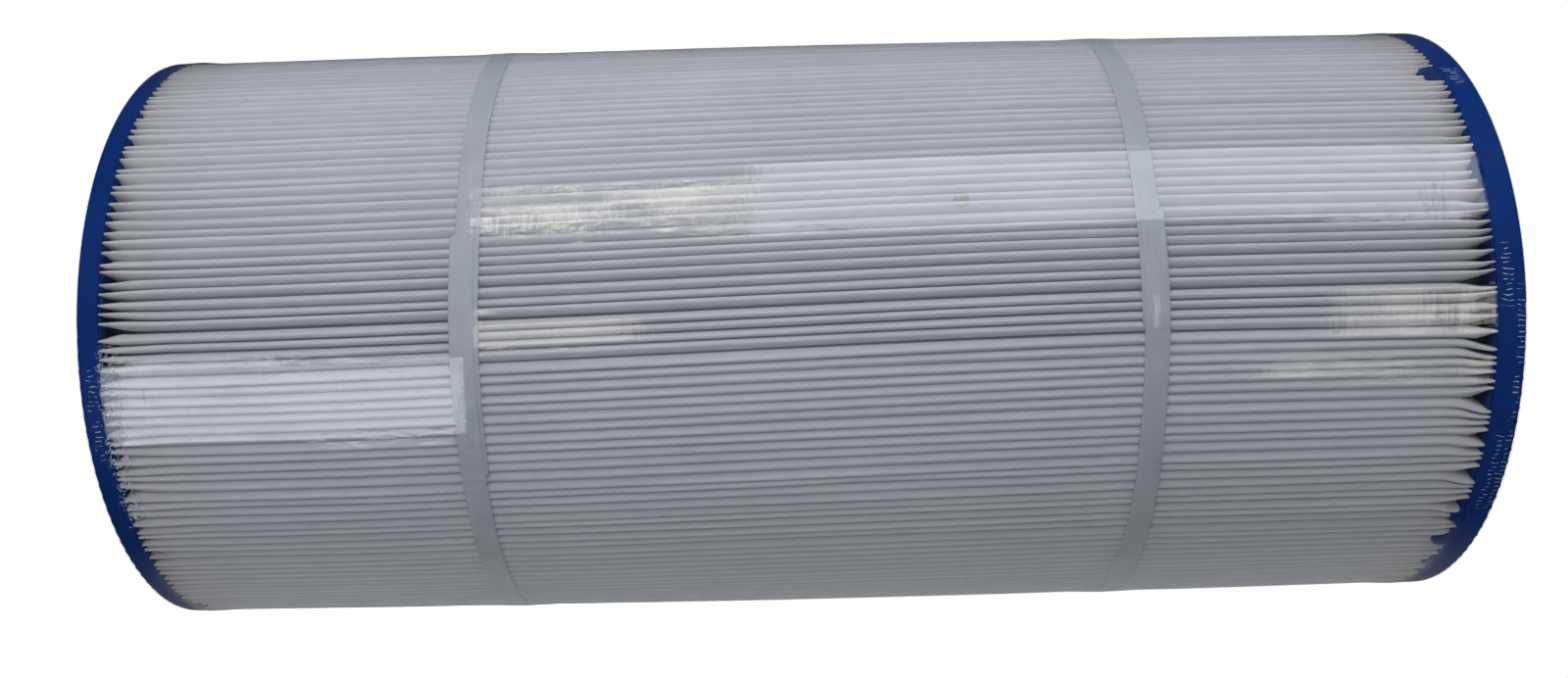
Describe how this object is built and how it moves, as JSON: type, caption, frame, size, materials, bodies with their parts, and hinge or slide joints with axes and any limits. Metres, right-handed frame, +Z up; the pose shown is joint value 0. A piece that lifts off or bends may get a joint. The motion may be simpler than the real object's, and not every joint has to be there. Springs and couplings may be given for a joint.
{
  "type": "filter cartridge",
  "caption": "Pleated pool filter cartridge with cast end caps, an open core tube, straps round its pleats and a clear shrink film.",
  "frame": {"origin": "centre of the lowest plane, the face of the bottom cap's sealing lip, on the cartridge's axis", "axes": "+Z up along the cartridge's axis; the bands' lap joints and the film's vent hole face -Y, the side seam faces +Y"},
  "size_m": [0.2304, 0.2304, 0.4985],
  "materials": {
    "end_cap": "semi-gloss cast polyurethane",
    "core": "moulded plastic, satin",
    "media": "point-bonded polyester, matte",
    "band": "woven strap, translucent",
    "hot_melt": "hot melt, milky",
    "film": "clear shrink film, glossy"
  },
  "bodies": {
    "root": {"bottom_end_cap": "end_cap", "top_end_cap": "end_cap", "core_section_1": "core", "core_section_2": "core", "core_section_3": "core", "core_section_4": "core", "pleated_media": "media", "seam_strip": "hot_melt", "lower_band_adhesive": "hot_melt", "upper_band_adhesive": "hot_melt", "lower_band": "band", "upper_band": "band", "shrink_film": "film"}
  },
  "joints": []
}
